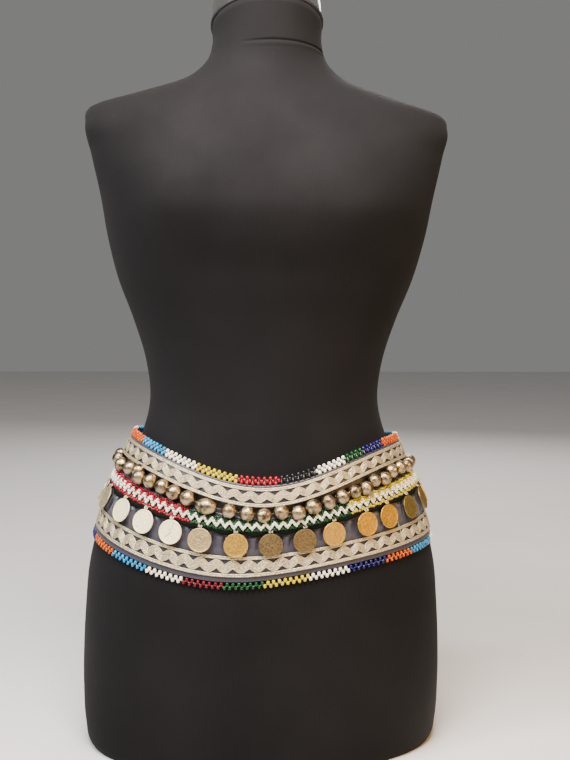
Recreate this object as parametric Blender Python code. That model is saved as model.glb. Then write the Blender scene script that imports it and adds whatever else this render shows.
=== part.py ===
"""Belly dance hip belt on a limbless dress form.

Metres, +Z up. The origin is the middle of the form's base, the front faces -Y, and the wearer's
left hip is at +X. Angles round the body start at the centre front and grow towards +X.

Everything on the belt is placed on one strip surface. It has a few stations from its top edge to
its bottom edge, each a closed curve round the form. A place on the strip is an angle and a row
coordinate: 0 is the first station, the top edge, 1 the second, and so on. Trims lie out from there.
"""

import math

import bmesh
import bpy
import numpy as np
from mathutils import Matrix

# ---------------------------------------------------------------- form sizes
FORM_SEGMENTS = 32
NECK_TILT = math.radians(20.0)
NECK_TILT_FROM = 0.638

FORM_SECTIONS = (
    # height, half width, front depth, back depth, squareness of the section
    (0.0000, 0.1640, 0.110, 0.116, 2.20),
    (0.0040, 0.1665, 0.112, 0.119, 2.20),
    (0.0170, 0.1690, 0.114, 0.121, 2.20),
    (0.0550, 0.1713, 0.115, 0.123, 2.20),
    (0.0940, 0.1710, 0.113, 0.124, 2.20),
    (0.1320, 0.1690, 0.111, 0.122, 2.20),
    (0.1700, 0.1655, 0.109, 0.117, 2.20),
    (0.2080, 0.1560, 0.105, 0.107, 2.15),
    (0.2470, 0.1388, 0.100, 0.093, 2.10),
    (0.2850, 0.1192, 0.094, 0.080, 2.05),
    (0.3230, 0.1090, 0.089, 0.075, 2.00),
    (0.3610, 0.1126, 0.090, 0.079, 2.05),
    (0.4000, 0.1244, 0.097, 0.087, 2.15),
    (0.4380, 0.1387, 0.110, 0.093, 2.30),
    (0.4760, 0.1482, 0.120, 0.096, 2.50),
    (0.5140, 0.1548, 0.116, 0.098, 2.80),
    (0.5530, 0.1635, 0.098, 0.097, 3.20),
    (0.5780, 0.1685, 0.080, 0.091, 3.60),
    (0.5920, 0.1640, 0.071, 0.084, 3.20),
    (0.6060, 0.1260, 0.062, 0.075, 2.50),
    (0.6220, 0.0800, 0.054, 0.063, 2.10),
    (0.6380, 0.0590, 0.049, 0.055, 2.00),
    (0.6560, 0.0515, 0.048, 0.051, 2.00),
    (0.6740, 0.0515, 0.049, 0.051, 2.00),
)

NECK_SEGMENTS = 24
NECK_GAP = 0.0003
RING_HEIGHT = 0.004
RING_PROUD = 0.0015
CAP_HEIGHT = 0.026
CAP_INSET = 0.0005
CAP_PROFILE = (
    # share of the cap's height, share of its radius
    (0.00, 1.00),
    (0.62, 1.00),
    (0.80, 0.97),
    (0.92, 0.88),
    (1.00, 0.70),
)

# ---------------------------------------------------------------- belt sizes
ANGLE_STEP = 1e-4
FINE_STEPS = 2880
CLOTH_WALL = 0.0016
COIN_COUNT = 28
COLUMNS_PER_COIN = 3
CLOSURE_ANGLE = math.radians(-176.9)
CLOSURE_GAP = 0.0006
TRIM_CLEAR_OF_CLOSURE = 0.0090
PUCKER_DEPTH = 0.0022
PUCKER_UNEVEN = 0.30

STATIONS = (
    # Name, heights in mm at eighths of a turn: front, front left, left, back left, back,
    # back right, right and front right of the wearer. Then how far in mm the cloth's outer
    # face stands off the form at the front, left, back and right.
    ("top_edge", (257.5, 280.2, 284.5, 271.0, 262.0, 276.0, 290.5, 272.5), (8.0, 11.0, 9.0, 8.8)),
    ("braid_end", (238.7, 263.2, 268.2, 255.2, 245.5, 258.5, 273.5, 254.9), (9.0, 9.5, 8.5, 9.0)),
    ("trough_top", (237.0, 261.2, 267.0, 254.0, 244.1, 257.0, 272.0, 252.8), (2.8, 3.5, 3.2, 3.2)),
    ("trough_end", (228.0, 249.5, 256.6, 242.6, 234.2, 247.0, 261.6, 242.0), (2.6, 3.0, 2.8, 3.0)),
    ("band_top", (226.5, 247.5, 255.5, 241.5, 233.0, 245.5, 260.0, 239.9), (6.5, 8.0, 7.0, 7.0)),
    ("band_end", (218.5, 234.5, 244.5, 231.0, 222.0, 234.5, 248.0, 227.3), (6.5, 7.5, 6.5, 6.2)),
    ("coin_fold", (210.0, 224.5, 234.0, 221.0, 212.0, 224.5, 238.5, 217.5), (2.6, 4.0, 3.5, 3.0)),
    ("low_braid", (197.2, 209.6, 219.0, 207.0, 198.0, 211.0, 225.5, 202.6), (3.2, 3.2, 3.2, 3.2)),
    ("low_edge", (175.6, 188.8, 197.2, 185.8, 177.3, 190.3, 204.2, 179.3), (2.4, 2.5, 2.6, 2.5)),
)
MM = 0.001
BAND_TOP = 4.0
BAND_END = 4.999
COIN_FOLD = 6
LOW_BRAID = 7.0
LOW_EDGE = 8.0

TRIM_GAP = 0.0005
TRIM_COLUMNS = 56

CORD_HEIGHT = 0.0016
CORD_BEVEL = 0.22
CORDS = (
    # name, row of its upper side, row of its lower side
    ("braid_upper_cord_a", 0.11, 0.26),
    ("braid_upper_cord_b", 0.82, 0.97),
    ("braid_lower_cord_a", 7.01, 7.14),
    ("braid_lower_cord_b", 7.67, 7.80),
)
WAVE_PERIOD = 0.0143
WAVE_HEIGHT = 0.0014
WAVE_CREST = 0.22
WAVE_BAND = 0.50
WAVES = (
    # name, highest row, lowest row
    ("braid_upper_wave", 0.30, 0.78),
    ("braid_lower_wave", 7.17, 7.64),
)

BELL_RADIUS = 0.0058
BELL_PITCH = 0.0143
BELL_WAIST = 0.90
BELL_NECK = 0.0007
BELL_ROW = 2.5
BELL_DROP = 0.0010
BELL_SIDES = 6

BAND_THICK = 0.0016
BAND_CROWN = 0.0030
EDGE_BEADS_TOP = 0.0074
EDGE_BEADS_BOTTOM = 0.0047
EDGE_BEADS_THICK = 0.0022
EDGE_GAP = 0.0004

COIN_RADIUS = 0.0107
COIN_THICK = 0.0012
COIN_SIDES = 14
BAIL_RADIUS = 0.0013
BAIL_WIRE = 0.00045
BAIL_SEGMENTS = 6
BAIL_SIDES = 3
BAIL_LIFT = 0.0030
BAIL_DROP = 0.0012
# How far in mm some coins are sewn from the middle between their puckers, towards the left hip.
COIN_SHIFTS = {9: 4.5, 10: 2.1, 12: -2.8, 13: -0.9, 15: 1.1, 16: -1.2, 17: 2.1, 18: -2.6, 19: -2.4}
COIN_TIP_LIFT_FRONT = 0.0036
COIN_TIP_LIFT_SIDE = 0.0064
THREAD_RADIUS = 0.0004
THREAD_SIDES = 3
THREAD_DIP_FROM = 0.22
THREAD_DIP_TO = 0.05

HOOK_ROWS = (0.50, 4.50, 7.90)
HOOK_LENGTH = 0.0140
HOOK_WIDTH = 0.0050
HOOK_THICK = 0.0008
HOOK_COLUMNS = 5

COLORS = {
    # name: red, green, blue, roughness, metallic
    "jersey": (0.025, 0.024, 0.027, 0.90, 0.0),
    "rubber": (0.010, 0.010, 0.010, 0.60, 0.0),
    "chrome": (0.620, 0.600, 0.560, 0.15, 1.0),
    "satin": (0.110, 0.095, 0.125, 0.45, 0.0),
    "braid": (0.560, 0.520, 0.440, 0.45, 0.6),
    "bell": (0.520, 0.460, 0.340, 0.30, 1.0),
    "beads": (0.700, 0.620, 0.500, 0.25, 0.0),
    "thread": (0.420, 0.400, 0.340, 0.80, 0.0),
    "coin_silver": (0.640, 0.610, 0.480, 0.38, 1.0),
    "coin_gold": (0.660, 0.450, 0.170, 0.38, 1.0),
    "coin_bronze": (0.340, 0.270, 0.150, 0.42, 1.0),
    "hook": (0.500, 0.500, 0.500, 0.30, 1.0),
}
SILVER_COINS = (5, 6, 7, 8, 9, 10, 11, 24)
BRONZE_COINS = (12, 14, 15, 19, 20, 26)


# ---------------------------------------------------------------- scene helpers
def clear_scene():
    for obj in list(bpy.data.objects):
        bpy.data.objects.remove(obj, do_unlink=True)


def material(name, color_name):
    red, green, blue, roughness, metallic = COLORS[color_name]
    made = bpy.data.materials.new(name)
    made.use_nodes = True
    shader = made.node_tree.nodes["Principled BSDF"]
    shader.inputs["Base Color"].default_value = (red, green, blue, 1.0)
    shader.inputs["Roughness"].default_value = roughness
    shader.inputs["Metallic"].default_value = metallic
    return made


def mesh_from(name, points, faces):
    """A closed mesh with its faces turned outwards."""
    mesh = bpy.data.meshes.new(name)
    mesh.from_pydata([tuple(point) for point in points], [], faces)
    work = bmesh.new()
    work.from_mesh(mesh)
    bmesh.ops.recalc_face_normals(work, faces=work.faces)
    work.to_mesh(mesh)
    work.free()
    return mesh


def add_object(name, mesh, color_name, sharp_over=35.0):
    """The mesh as an object of its own, shaded smooth except over edges sharper than sharp_over."""
    mesh.shade_smooth()
    mesh.set_sharp_from_angle(angle=math.radians(sharp_over))
    obj = bpy.data.objects.new(name, mesh)
    bpy.context.scene.collection.objects.link(obj)
    slot_material = material(name, color_name)
    if not mesh.materials:
        mesh.materials.append(slot_material)
    obj.material_slots[0].link = "OBJECT"
    obj.material_slots[0].material = slot_material
    return obj


def loft(name, rings):
    """One closed body through rings of equally many points, with a flat cap at each end."""
    count = len(rings[0])
    points = np.concatenate(rings)
    faces = [tuple(range(count)), tuple(range(len(points) - count, len(points)))]
    for ring in range(len(rings) - 1):
        start = ring * count
        for side in range(count):
            after = (side + 1) % count
            faces.append((start + side, start + after, start + count + after, start + count + side))
    return mesh_from(name, points, faces)


# ---------------------------------------------------------------- the form
def smooth_rows(table, height):
    """The table's columns at each height, on a smooth curve through its rows."""
    rows = np.array(table)
    heights = rows[:, 0]
    values = rows[:, 1:]
    slopes = np.gradient(values, heights, axis=0)
    first = np.clip(np.searchsorted(heights, height) - 1, 0, len(heights) - 2)
    span = (heights[first + 1] - heights[first])[..., None]
    share = np.clip((height - heights[first])[..., None] / span, 0.0, 1.0)
    return (
        (2 * share**3 - 3 * share**2 + 1) * values[first]
        + (share**3 - 2 * share**2 + share) * span * slopes[first]
        + (3 * share**2 - 2 * share**3) * values[first + 1]
        + (share**3 - share**2) * span * slopes[first + 1]
    )


def form_radius(angle, height):
    """How far the form's skin is from its axis. Each section is a superellipse."""
    half_width, front, back, square = np.moveaxis(smooth_rows(FORM_SECTIONS, height), -1, 0)
    depth = np.where(np.cos(angle) > 0, front, back)
    across = np.abs(np.sin(angle) / half_width) ** square
    along = np.abs(np.cos(angle) / depth) ** square
    return (across + along) ** (-1 / square)


def around_axis(angle, radius, height):
    return np.stack([radius * np.sin(angle), -radius * np.cos(angle), height + 0 * radius], -1)


def tilted(points):
    """The neck's planes rise towards the front, more and more up to the cap."""
    top = FORM_SECTIONS[-1][0]
    share = np.clip((points[..., 2] - NECK_TILT_FROM) / (top - NECK_TILT_FROM), 0.0, 1.0)
    leaned = points.copy()
    leaned[..., 2] -= share * math.tan(NECK_TILT) * points[..., 1]
    return leaned


def build_form():
    angles = np.linspace(0, 2 * math.pi, FORM_SEGMENTS, endpoint=False)
    rings = []
    for section in FORM_SECTIONS:
        height = np.full(FORM_SEGMENTS, section[0])
        rings.append(tilted(around_axis(angles, form_radius(angles, height), height)))
    add_object("form_body", loft("form_body", rings), "jersey", 60.0)


def neck_ring(grow, height):
    """A ring of points over the neck's top, at a height over it, square to the tilted plane."""
    angles = np.linspace(0, 2 * math.pi, NECK_SEGMENTS, endpoint=False)
    top = np.full(NECK_SEGMENTS, FORM_SECTIONS[-1][0])
    points = tilted(around_axis(angles, form_radius(angles, top) + grow, top))
    square_up = np.array([0.0, math.sin(NECK_TILT), math.cos(NECK_TILT)])
    return points + height * square_up


def build_neck():
    low = NECK_GAP
    high = NECK_GAP + RING_HEIGHT
    rings = [neck_ring(RING_PROUD, low), neck_ring(RING_PROUD, high)]
    add_object("neck_gasket", loft("neck_gasket", rings), "rubber")
    base = high + NECK_GAP
    radius = FORM_SECTIONS[-1][1]
    rings = []
    for up, out in CAP_PROFILE:
        rings.append(neck_ring(-CAP_INSET - (1 - out) * radius, base + up * CAP_HEIGHT))
    add_object("neck_cap", loft("neck_cap", rings), "chrome", 50.0)


# ---------------------------------------------------------------- the strip
def closed_curve(values, angle):
    """A smooth closed curve through values that are given at equal steps of a turn."""
    count = len(values)
    total = 0.0
    for number, value in enumerate(values):
        gap = angle - 2 * math.pi * number / count
        waves = sum(np.cos(order * gap) for order in range(1, count // 2))
        total = total + value * (1 + 2 * waves + np.cos(count / 2 * gap)) / count
    return total


def station_point(index, angle):
    """A point on the cloth's outer face at one station, before it puckers."""
    _, heights, stand_offs = STATIONS[index]
    height = closed_curve(heights, angle) * MM
    radius = form_radius(angle, height) + closed_curve(stand_offs, angle) * MM
    return around_axis(angle, radius, height)


def row_between(row):
    index = min(int(row), len(STATIONS) - 2)
    return index, row - index


def strip_point(angle, row, lift=0.0, drop=0.0):
    """A point on the strip, moved out by lift and down along the strip by drop."""
    index, share = row_between(row)
    upper = station_point(index, angle)
    lower = station_point(index + 1, angle)
    upper_ahead = station_point(index, angle + ANGLE_STEP)
    lower_ahead = station_point(index + 1, angle + ANGLE_STEP)
    here = upper + share * (lower - upper)
    ahead = upper_ahead + share * (lower_ahead - upper_ahead)
    down = unit(lower - upper)
    out = unit(np.cross(down, ahead - here))
    return here + np.asarray(lift)[..., None] * out + np.asarray(drop)[..., None] * down


def unit(vectors):
    return vectors / np.linalg.norm(vectors, axis=-1, keepdims=True)


def path_length(row):
    """Fine angles once round from the closure, and the length along the row up to each."""
    angles = np.linspace(CLOSURE_ANGLE, CLOSURE_ANGLE + 2 * math.pi, FINE_STEPS + 1)
    steps = np.linalg.norm(np.diff(strip_point(angles, row), axis=0), axis=1)
    return angles, np.concatenate([[0.0], np.cumsum(steps)])


def angles_along(row, count, first, last):
    """Angles at equal steps along a row, from a length after the closure to a length before it."""
    angles, length = path_length(row)
    return np.interp(np.linspace(first, length[-1] - last, count), length, angles)


def trim_length(row):
    return path_length(row)[1][-1] - 2 * TRIM_CLEAR_OF_CLOSURE


def trim_angles(row, count=TRIM_COLUMNS):
    return angles_along(row, count, TRIM_CLEAR_OF_CLOSURE, TRIM_CLEAR_OF_CLOSURE)


def swept(name, corners):
    """A closed body from corner paths: each corner is an array of points round the belt."""
    stacked = np.stack(corners, axis=1)
    return loft(name, list(stacked))


def build_cloth():
    """The satin strip: one wall through all stations, puckered between the coins."""
    count = COIN_COUNT * COLUMNS_PER_COIN + 1
    angles = angles_along(BAND_END, count, CLOSURE_GAP / 2, CLOSURE_GAP / 2)
    column = np.arange(count)
    depth = PUCKER_DEPTH * (1 - PUCKER_UNEVEN * np.sin(column))
    pucker = np.where(column % COLUMNS_PER_COIN == 0, depth, 0.0)
    outer = []
    inner = []
    for index in range(len(STATIONS)):
        here = station_point(index, angles)
        along = station_point(index, angles + ANGLE_STEP) - here
        above = station_point(max(index - 1, 0), angles)
        below = station_point(min(index + 1, len(STATIONS) - 1), angles)
        out = unit(np.cross(below - above, along))
        bulge = pucker if index == COIN_FOLD else np.zeros(count)
        outer.append(here + bulge[:, None] * out)
        inner.append(here + (bulge - CLOTH_WALL)[:, None] * out)
    add_object("belt_cloth", swept("belt_cloth", outer + inner[::-1]), "satin")


def build_cord(name, upper, lower):
    angles = trim_angles((upper + lower) / 2)
    bevel = (lower - upper) * CORD_BEVEL
    corners = [
        strip_point(angles, upper, TRIM_GAP),
        strip_point(angles, upper + bevel, TRIM_GAP + CORD_HEIGHT),
        strip_point(angles, lower - bevel, TRIM_GAP + CORD_HEIGHT),
        strip_point(angles, lower, TRIM_GAP),
    ]
    add_object(name, swept(name, corners), "braid")


def build_wave(name, highest, lowest):
    """A flat band that runs up and down between the cords, with short level crests."""
    middle = (highest + lowest) / 2
    periods = round(trim_length(middle) / WAVE_PERIOD)
    half_band = WAVE_BAND * (lowest - highest) / 2
    swing = (lowest - highest) / 2 - half_band
    steps = np.tile([0.0, WAVE_CREST, 0.5, 0.5 + WAVE_CREST], periods)
    places = (np.repeat(np.arange(periods), 4) + steps) / periods
    even = trim_angles(middle, FINE_STEPS)
    angles = np.interp(places, np.linspace(0, 1, FINE_STEPS), even)
    side = np.tile([-1.0, -1.0, 1.0, 1.0], periods)
    top = TRIM_GAP + WAVE_HEIGHT
    corners = []
    for shift, lift in ((-half_band, TRIM_GAP), (-half_band, top), (half_band, top), (half_band, TRIM_GAP)):
        path = []
        for angle, up_or_down in zip(angles, side):
            path.append(strip_point(angle, middle + swing * up_or_down + shift, lift))
        corners.append(np.array(path))
    add_object(name, swept(name, corners), "braid")


def build_bells():
    """Round bells threaded in one row in the trough, joined by the thread between them."""
    room = trim_length(BELL_ROW)
    count = round(room / BELL_PITCH)
    waist = BELL_WAIST * BELL_RADIUS
    profile = ((-0.98, BELL_NECK), (-0.50, waist), (0.50, waist), (0.98, BELL_NECK))
    even = trim_angles(BELL_ROW, FINE_STEPS)
    length = np.linspace(0, room, FINE_STEPS)
    turns = np.linspace(0, 2 * math.pi, BELL_SIDES, endpoint=False)
    rings = []
    for bell in range(count):
        for along_share, radius in profile:
            place = (bell + 0.5) * room / count + along_share * BELL_RADIUS
            angle = np.interp(place, length, even)
            seat = strip_point(angle, BELL_ROW, 0.0, BELL_DROP)
            centre = strip_point(angle, BELL_ROW, TRIM_GAP + waist, BELL_DROP)
            out = unit(centre - seat)
            down = unit(seat - strip_point(angle, BELL_ROW))
            ring = [centre + radius * (math.cos(turn) * out + math.sin(turn) * down) for turn in turns]
            rings.append(np.array(ring))
    add_object("bell_row", loft("bell_row", rings), "bell", 80.0)


def build_bead_band():
    """The bead strip that the coins hang under. Its face is crowned along the middle."""
    middle = (BAND_TOP + BAND_END) / 2
    angles = trim_angles(middle)
    corners = [
        strip_point(angles, BAND_TOP, TRIM_GAP),
        strip_point(angles, BAND_TOP, TRIM_GAP + BAND_THICK),
        strip_point(angles, middle, TRIM_GAP + BAND_CROWN),
        strip_point(angles, BAND_END, TRIM_GAP + BAND_THICK),
        strip_point(angles, BAND_END, TRIM_GAP),
    ]
    add_object("bead_band", swept("bead_band", corners), "beads")


def build_bead_edge(name, row, way, height):
    """Looped beads that stand out from one edge of the cloth, up or down along the strip."""
    angles = trim_angles(row)
    inside = -(CLOTH_WALL + EDGE_BEADS_THICK) / 2
    outside = inside + EDGE_BEADS_THICK
    near = way * EDGE_GAP
    far = way * (EDGE_GAP + height)
    corners = [
        strip_point(angles, row, inside, near),
        strip_point(angles, row, outside, near),
        strip_point(angles, row, outside, far),
        strip_point(angles, row, inside, far),
    ]
    add_object(name, swept(name, corners), "beads")


def coin_places():
    """Each coin's angle, and the angle from one pucker to the next at that coin."""
    edges = angles_along(BAND_END, COIN_COUNT + 1, CLOSURE_GAP / 2, CLOSURE_GAP / 2)
    places = []
    for number in range(1, COIN_COUNT + 1):
        middle = (edges[number - 1] + edges[number]) / 2
        radius = np.linalg.norm(strip_point(middle, BAND_END)[:2])
        shift = COIN_SHIFTS.get(number, 0.0) * MM / radius
        places.append((middle + shift, edges[number] - edges[number - 1]))
    return places


def bail_point(angle):
    return strip_point(angle, BAND_END, BAIL_LIFT, BAIL_DROP)


def build_thread():
    """A thread along the band's lower edge that dips through each coin's bail."""
    held = TRIM_GAP + BAND_THICK / 2
    under = THREAD_RADIUS + EDGE_GAP
    path = []
    for middle, width in coin_places():
        path.append(strip_point(middle - THREAD_DIP_FROM * width, BAND_END, held, under))
        path.append(bail_point(middle - THREAD_DIP_TO * width))
        path.append(bail_point(middle + THREAD_DIP_TO * width))
        path.append(strip_point(middle + THREAD_DIP_FROM * width, BAND_END, held, under))
    path = np.array(path)
    turns = np.linspace(0, 2 * math.pi, THREAD_SIDES, endpoint=False)
    rings = []
    for place in range(len(path)):
        before = path[max(place - 1, 0)]
        after = path[min(place + 1, len(path) - 1)]
        along = unit(after - before)
        across = unit(np.cross(along, [0.0, 0.0, 1.0]))
        up = np.cross(across, along)
        around = [math.cos(turn) * across + math.sin(turn) * up for turn in turns]
        rings.append(path[place] + THREAD_RADIUS * np.array(around))
    add_object("coin_thread", loft("coin_thread", rings), "thread")


def disc_mesh():
    """The coin's disc. Its rim just reaches into the bail's wire."""
    turns = np.linspace(0, 2 * math.pi, COIN_SIDES, endpoint=False) + math.pi / COIN_SIDES
    centre = BAIL_RADIUS + COIN_RADIUS * math.cos(math.pi / COIN_SIDES)
    rings = []
    for depth in (-COIN_THICK / 2, COIN_THICK / 2):
        flat = [(COIN_RADIUS * math.sin(turn), COIN_RADIUS * math.cos(turn)) for turn in turns]
        ring = [(across, depth, up - centre) for across, up in flat]
        rings.append(np.array(ring))
    return loft("coin_disc", rings)


def bail_mesh():
    """A small wire ring round the local X axis."""
    points = []
    faces = []
    for segment in range(BAIL_SEGMENTS):
        turn = 2 * math.pi * segment / BAIL_SEGMENTS
        start = BAIL_SIDES * segment
        end = BAIL_SIDES * ((segment + 1) % BAIL_SEGMENTS)
        for side in range(BAIL_SIDES):
            tube = 2 * math.pi * side / BAIL_SIDES
            radius = BAIL_RADIUS + BAIL_WIRE * math.cos(tube)
            points.append((BAIL_WIRE * math.sin(tube), radius * math.sin(turn), -radius * math.cos(turn)))
            after = (side + 1) % BAIL_SIDES
            faces.append((start + side, start + after, end + after, end + side))
    return mesh_from("coin_bail", points, faces)


def coin_mesh():
    """A disc that hangs from its bail, whose middle is the origin and whose axis is the hinge."""
    disc = bpy.data.objects.new("coin_disc", disc_mesh())
    bail = bpy.data.objects.new("coin_bail", bail_mesh())
    for helper in (disc, bail):
        bpy.context.scene.collection.objects.link(helper)
    union = disc.modifiers.new("bail", "BOOLEAN")
    union.operation = "UNION"
    union.object = bail
    graph = bpy.context.evaluated_depsgraph_get()
    joined = bpy.data.meshes.new_from_object(disc.evaluated_get(graph))
    joined.name = "coin"
    for helper in (disc, bail):
        bpy.data.objects.remove(helper, do_unlink=True)
    return joined


def coin_color(number):
    if number in SILVER_COINS:
        return "coin_silver"
    if number in BRONZE_COINS:
        return "coin_bronze"
    return "coin_gold"


def build_coins():
    """Each coin hangs clear of the cloth and leans out further at the sides."""
    mesh = coin_mesh()
    for number, (angle, _) in enumerate(coin_places(), start=1):
        hinge = bail_point(angle)
        sideways = abs(math.sin(angle))
        tip_lift = COIN_TIP_LIFT_FRONT + (COIN_TIP_LIFT_SIDE - COIN_TIP_LIFT_FRONT) * sideways
        foot = strip_point(angle, LOW_BRAID, tip_lift)
        hang = unit(foot - hinge)
        ahead = bail_point(angle + ANGLE_STEP) - hinge
        across = unit(ahead - np.dot(ahead, hang) * hang)
        inward = np.cross(-hang, across)
        coin = add_object(f"coin_{number:02d}", mesh, coin_color(number))
        turn = Matrix((across, inward, -hang)).transposed().to_4x4()
        coin.matrix_world = Matrix.Translation(hinge) @ turn


def build_hooks():
    """Flat plates that lie over both ends of the belt at the closure."""
    for number, row in enumerate(HOOK_ROWS, start=1):
        turn = HOOK_LENGTH / 2 / np.linalg.norm(strip_point(CLOSURE_ANGLE, row)[:2])
        angles = CLOSURE_ANGLE + np.linspace(-turn, turn, HOOK_COLUMNS)
        corners = []
        for drop, lift in ((-0.5, 0.0), (-0.5, 1.0), (0.5, 1.0), (0.5, 0.0)):
            corners.append(strip_point(angles, row, TRIM_GAP + lift * HOOK_THICK, drop * HOOK_WIDTH))
        name = f"hook_{number}"
        add_object(name, swept(name, corners), "hook")


def build():
    clear_scene()
    build_form()
    build_neck()
    build_cloth()
    for cord in CORDS:
        build_cord(*cord)
    for wave in WAVES:
        build_wave(*wave)
    build_bells()
    build_bead_band()
    build_bead_edge("bead_edge_top", 0.0, -1, EDGE_BEADS_TOP)
    build_bead_edge("bead_edge_bottom", LOW_EDGE, 1, EDGE_BEADS_BOTTOM)
    build_thread()
    build_coins()
    build_hooks()


build()
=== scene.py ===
"""Looks for the belly dance hip belt on its dress form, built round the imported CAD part."""

import random
from contextlib import contextmanager
from math import cos, degrees, pi, radians, sin, sqrt, tan

import bmesh
import bpy
import numpy as np
from mathutils import Matrix, Vector


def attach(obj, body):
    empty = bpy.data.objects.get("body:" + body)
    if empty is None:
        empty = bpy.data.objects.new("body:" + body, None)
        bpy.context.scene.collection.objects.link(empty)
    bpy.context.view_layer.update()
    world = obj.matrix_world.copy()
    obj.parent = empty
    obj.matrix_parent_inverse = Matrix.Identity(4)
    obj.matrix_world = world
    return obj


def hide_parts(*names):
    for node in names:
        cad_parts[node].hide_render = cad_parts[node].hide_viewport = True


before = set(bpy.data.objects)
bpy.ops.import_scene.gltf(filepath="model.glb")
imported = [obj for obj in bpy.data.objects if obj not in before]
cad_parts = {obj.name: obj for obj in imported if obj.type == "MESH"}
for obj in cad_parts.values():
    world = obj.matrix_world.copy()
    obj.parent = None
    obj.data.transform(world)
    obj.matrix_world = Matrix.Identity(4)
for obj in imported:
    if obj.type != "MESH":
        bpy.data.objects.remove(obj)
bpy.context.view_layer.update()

# ---- sizes shared with the CAD source, in metres and radians unless a comment says otherwise
MM = 0.001
TURN = 2 * pi
FORM_SECTIONS = np.array([
    # height, half width, front depth and back depth in mm, squareness
    (0, 164, 110, 116, 2.2), (4, 166.5, 112, 119, 2.2), (17, 169, 114, 121, 2.2),
    (55, 171.3, 115, 123, 2.2), (94, 171, 113, 124, 2.2), (132, 169, 111, 122, 2.2),
    (170, 165.5, 109, 117, 2.2), (208, 156, 105, 107, 2.15), (247, 138.8, 100, 93, 2.1),
    (285, 119.2, 94, 80, 2.05), (323, 109, 89, 75, 2), (361, 112.6, 90, 79, 2.05),
    (400, 124.4, 97, 87, 2.15), (438, 138.7, 110, 93, 2.3), (476, 148.2, 120, 96, 2.5),
    (514, 154.8, 116, 98, 2.8), (553, 163.5, 98, 97, 3.2), (578, 168.5, 80, 91, 3.6),
    (592, 164, 71, 84, 3.2), (606, 126, 62, 75, 2.5), (622, 80, 54, 63, 2.1),
    (638, 59, 49, 55, 2), (656, 51.5, 48, 51, 2), (674, 51.5, 49, 51, 2),
]) / (1000, 1000, 1000, 1000, 1)
FORM_TOP, NECK_HALF_WIDTH = FORM_SECTIONS[-1][:2]
NECK_TILT = radians(20)
NECK_TILT_FROM = 0.638
NECK_GAP = 0.0003
RING_HEIGHT = 0.004
RING_PROUD = 0.0015
CAP_HEIGHT = 0.026
CAP_INSET = 0.0005

STATIONS = (
    # heights in mm at eighths of a turn from the front, then stand-offs in mm at quarters
    ((257.5, 280.2, 284.5, 271, 262, 276, 290.5, 272.5), (8, 11, 9, 8.8)),
    ((238.7, 263.2, 268.2, 255.2, 245.5, 258.5, 273.5, 254.9), (9, 9.5, 8.5, 9)),
    ((237, 261.2, 267, 254, 244.1, 257, 272, 252.8), (2.8, 3.5, 3.2, 3.2)),
    ((228, 249.5, 256.6, 242.6, 234.2, 247, 261.6, 242), (2.6, 3, 2.8, 3)),
    ((226.5, 247.5, 255.5, 241.5, 233, 245.5, 260, 239.9), (6.5, 8, 7, 7)),
    ((218.5, 234.5, 244.5, 231, 222, 234.5, 248, 227.3), (6.5, 7.5, 6.5, 6.2)),
    ((210, 224.5, 234, 221, 212, 224.5, 238.5, 217.5), (2.6, 4, 3.5, 3)),
    ((197.2, 209.6, 219, 207, 198, 211, 225.5, 202.6), (3.2, 3.2, 3.2, 3.2)),
    ((175.6, 188.8, 197.2, 185.8, 177.3, 190.3, 204.2, 179.3), (2.4, 2.5, 2.6, 2.5)),
)
ANGLE_STEP = 1e-4
FINE_STEPS = 2880
CLOTH_WALL = 0.0016
COIN_COUNT = 28
CLOSURE_ANGLE = radians(-176.9)
CLOSURE_GAP = 0.0006
TRIM_MARGIN = 0.009
TRIM_GAP = 0.0005
# Rows count the stations from the strip's top edge down.
BAND_TOP = 4.0
BAND_END = 4.999
LOW_BRAID = 7.0
LOW_EDGE = 8.0
BELL_ROW = 2.5
BELL_RADIUS = 0.0058
BELL_PITCH = 0.0143
COIN_RADIUS = 0.0107
COIN_SIDES = 14
BAIL_RADIUS = 0.0013
BAIL_WIRE = 0.00045
BAIL_LIFT = 0.003
BAIL_DROP = 0.0012
COIN_DROP = BAIL_RADIUS + COIN_RADIUS * cos(pi / COIN_SIDES)
COIN_SHIFTS = {  # coin: how far it hangs from its even place, in mm
    9: 4.5, 10: 2.1, 12: -2.8, 13: -0.9, 15: 1.1, 16: -1.2, 17: 2.1, 18: -2.6, 19: -2.4,
}
TIP_LIFT_FRONT = 0.0036
TIP_LIFT_SIDE = 0.0064
HOOK_ROWS = (0.5, 4.5, 7.9)
HOOK_LENGTH = 0.014
HOOK_WIDTH = 0.005


# ---- surfaces, as in the CAD source. An angle is 0 at the front and grows towards +X.
def smooth_rows(table, height):
    heights, values = table[:, 0], table[:, 1:]
    slopes = np.gradient(values, heights, axis=0)
    first = np.clip(np.searchsorted(heights, height) - 1, 0, len(heights) - 2)
    span = (heights[first + 1] - heights[first])[..., None]
    share = np.clip((height - heights[first])[..., None] / span, 0, 1)
    return (
        (2 * share**3 - 3 * share**2 + 1) * values[first]
        + (share**3 - 2 * share**2 + share) * span * slopes[first]
        + (3 * share**2 - 2 * share**3) * values[first + 1]
        + (share**3 - share**2) * span * slopes[first + 1]
    )


def form_radius(angle, height):
    half_width, front, back, square = np.moveaxis(smooth_rows(FORM_SECTIONS, height), -1, 0)
    depth = np.where(np.cos(angle) > 0, front, back)
    across = np.abs(np.sin(angle) / half_width) ** square
    along = np.abs(np.cos(angle) / depth) ** square
    return (across + along) ** (-1 / square)


def around_axis(angle, radius, height):
    return np.stack([radius * np.sin(angle), -radius * np.cos(angle), height + 0 * radius], -1)


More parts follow.
